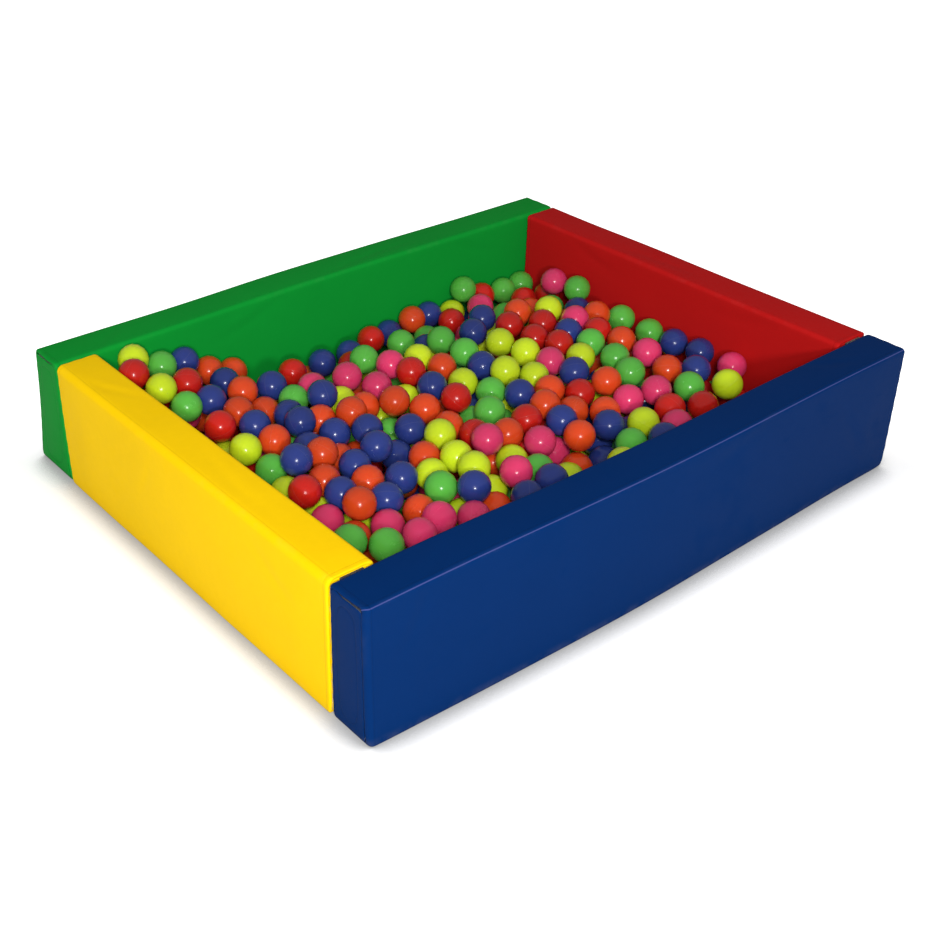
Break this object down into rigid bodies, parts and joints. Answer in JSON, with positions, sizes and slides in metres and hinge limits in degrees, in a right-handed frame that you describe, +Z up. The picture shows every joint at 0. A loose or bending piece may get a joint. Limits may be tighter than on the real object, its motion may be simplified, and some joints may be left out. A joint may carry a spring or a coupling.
{
  "type": "foam ball pit",
  "caption": "Low rectangular ball pit: padded foam walls in sewn vinyl covers, joined by hook-and-loop tape round a floor mat and a heap of hollow balls.",
  "frame": {"origin": "on the floor, under the middle of the pit", "axes": "+X along the two long walls, from the yellow wall to the red one; +Y from the blue wall to the green one; +Z up"},
  "size_m": [1.506, 1.226, 0.3],
  "materials": {
    "blue_vinyl": "smooth coated vinyl, semi-matt",
    "green_vinyl": "smooth coated vinyl, semi-matt",
    "red_vinyl": "smooth coated vinyl, semi-matt",
    "yellow_vinyl": "smooth coated vinyl, semi-matt",
    "foam": "open-cell foam, cut",
    "tape": "woven tape with hooks or loops",
    "zip": "woven webbing with a moulded coil",
    "metal": "plated",
    "ball_heap": "glossy, in six mixed colours",
    "red_ball": "glossy",
    "orange_ball": "glossy",
    "pink_ball": "glossy",
    "lime_ball": "glossy",
    "green_ball": "glossy",
    "blue_ball": "glossy"
  },
  "bodies": {
    "floor_and_heap": {"mat_cover": "blue_vinyl", "mat_end_panel_left": "blue_vinyl", "mat_end_panel_right": "blue_vinyl", "mat_foam_core": "foam", "ball_bed": "ball_heap"},
    "blue_wall": {"blue_cover": "blue_vinyl", "blue_end_panel": "blue_vinyl", "blue_under_flap": "blue_vinyl", "blue_foam_core": "foam", "blue_flap_loop_tape": "tape", "blue_loop_tape_left": "tape", "blue_loop_tape_right": "tape"},
    "blue_flap": {"blue_end_flap": "blue_vinyl", "blue_flap_hook_tape": "tape"},
    "green_wall": {"green_cover": "green_vinyl", "green_end_panel": "green_vinyl", "green_under_flap": "green_vinyl", "green_foam_core": "foam", "green_flap_loop_tape": "tape", "green_loop_tape_left": "tape", "green_loop_tape_right": "tape"},
    "green_flap": {"green_end_flap": "green_vinyl", "green_flap_hook_tape": "tape"},
    "red_wall": {"red_cover": "red_vinyl", "red_end_panel_front": "red_vinyl", "red_end_panel_back": "red_vinyl", "red_foam_core": "foam", "red_hook_tape_front": "tape", "red_hook_tape_back": "tape", "red_zip_webbing": "zip", "red_zip_coil": "zip"},
    "red_zip_runner": {"red_zip_slider": "metal", "red_zip_pull": "metal"},
    "yellow_wall": {"yellow_cover": "yellow_vinyl", "yellow_end_panel_front": "yellow_vinyl", "yellow_end_panel_back": "yellow_vinyl", "yellow_foam_core": "foam", "yellow_hook_tape_front": "tape", "yellow_hook_tape_back": "tape", "yellow_zip_webbing": "zip", "yellow_zip_coil": "zip"},
    "yellow_zip_runner": {"yellow_zip_slider": "metal", "yellow_zip_pull": "metal"},
    "ball_green_front": {"ball_green_front": "green_ball"},
    "ball_blue_front": {"ball_blue_front": "blue_ball"},
    "ball_pink_front": {"ball_pink_front": "pink_ball"},
    "ball_orange_left": {"ball_orange_left": "orange_ball"},
    "ball_red_left": {"ball_red_left": "red_ball"},
    "ball_blue_left": {"ball_blue_left": "blue_ball"},
    "ball_lime_middle": {"ball_lime_middle": "lime_ball"},
    "ball_green_middle": {"ball_green_middle": "green_ball"},
    "ball_red_middle": {"ball_red_middle": "red_ball"},
    "ball_orange_back": {"ball_orange_back": "orange_ball"},
    "ball_blue_right": {"ball_blue_right": "blue_ball"},
    "ball_green_right": {"ball_green_right": "green_ball"},
    "ball_lime_right": {"ball_lime_right": "lime_ball"},
    "ball_green_back": {"ball_green_back": "green_ball"},
    "ball_lime_corner": {"ball_lime_corner": "lime_ball"}
  },
  "joints": [
    {"name": "blue_wall_slide", "type": "slide", "parent": "floor_and_heap", "child": "blue_wall", "axis": [0, -1, 0], "range_m": [0, 0.3]},
    {"name": "green_wall_slide", "type": "slide", "parent": "floor_and_heap", "child": "green_wall", "axis": [0, 1, 0], "range_m": [0, 0.3]},
    {"name": "red_wall_slide", "type": "slide", "parent": "floor_and_heap", "child": "red_wall", "axis": [1, 0, 0], "range_m": [0, 0.3]},
    {"name": "yellow_wall_slide", "type": "slide", "parent": "floor_and_heap", "child": "yellow_wall", "axis": [-1, 0, 0], "range_m": [0, 0.3]},
    {"name": "blue_flap_hinge", "type": "hinge", "parent": "blue_wall", "child": "blue_flap", "pos_m": [-0.75, -0.55, 0.0017], "axis": [0, -1, 0], "range_deg": [0, 90]},
    {"name": "green_flap_hinge", "type": "hinge", "parent": "green_wall", "child": "green_flap", "pos_m": [-0.75, 0.55, 0.0017], "axis": [0, -1, 0], "range_deg": [0, 90]},
    {"name": "red_zip_slide", "type": "slide", "parent": "red_wall", "child": "red_zip_runner", "axis": [0, 1, 0], "range_m": [0, 0.93]},
    {"name": "yellow_zip_slide", "type": "slide", "parent": "yellow_wall", "child": "yellow_zip_runner", "axis": [0, -1, 0], "range_m": [0, 0.93]},
    {"name": "ball_green_front_lift", "type": "slide", "parent": "floor_and_heap", "child": "ball_green_front", "axis": [0, 0, 1], "range_m": [0, 0.25]},
    {"name": "ball_blue_front_lift", "type": "slide", "parent": "floor_and_heap", "child": "ball_blue_front", "axis": [0, 0, 1], "range_m": [0, 0.25]},
    {"name": "ball_pink_front_lift", "type": "slide", "parent": "floor_and_heap", "child": "ball_pink_front", "axis": [0, 0, 1], "range_m": [0, 0.25]},
    {"name": "ball_orange_left_lift", "type": "slide", "parent": "floor_and_heap", "child": "ball_orange_left", "axis": [0, 0, 1], "range_m": [0, 0.25]},
    {"name": "ball_red_left_lift", "type": "slide", "parent": "floor_and_heap", "child": "ball_red_left", "axis": [0, 0, 1], "range_m": [0, 0.25]},
    {"name": "ball_blue_left_lift", "type": "slide", "parent": "floor_and_heap", "child": "ball_blue_left", "axis": [0, 0, 1], "range_m": [0, 0.25]},
    {"name": "ball_lime_middle_lift", "type": "slide", "parent": "floor_and_heap", "child": "ball_lime_middle", "axis": [0, 0, 1], "range_m": [0, 0.25]},
    {"name": "ball_green_middle_lift", "type": "slide", "parent": "floor_and_heap", "child": "ball_green_middle", "axis": [0, 0, 1], "range_m": [0, 0.25]},
    {"name": "ball_red_middle_lift", "type": "slide", "parent": "floor_and_heap", "child": "ball_red_middle", "axis": [0, 0, 1], "range_m": [0, 0.25]},
    {"name": "ball_orange_back_lift", "type": "slide", "parent": "floor_and_heap", "child": "ball_orange_back", "axis": [0, 0, 1], "range_m": [0, 0.25]},
    {"name": "ball_blue_right_lift", "type": "slide", "parent": "floor_and_heap", "child": "ball_blue_right", "axis": [0, 0, 1], "range_m": [0, 0.25]},
    {"name": "ball_green_right_lift", "type": "slide", "parent": "floor_and_heap", "child": "ball_green_right", "axis": [0, 0, 1], "range_m": [0, 0.25]},
    {"name": "ball_lime_right_lift", "type": "slide", "parent": "floor_and_heap", "child": "ball_lime_right", "axis": [0, 0, 1], "range_m": [0, 0.25]},
    {"name": "ball_green_back_lift", "type": "slide", "parent": "floor_and_heap", "child": "ball_green_back", "axis": [0, 0, 1], "range_m": [0, 0.25]},
    {"name": "ball_lime_corner_lift", "type": "slide", "parent": "floor_and_heap", "child": "ball_lime_corner", "axis": [0, 0, 1], "range_m": [0, 0.25]}
  ]
}
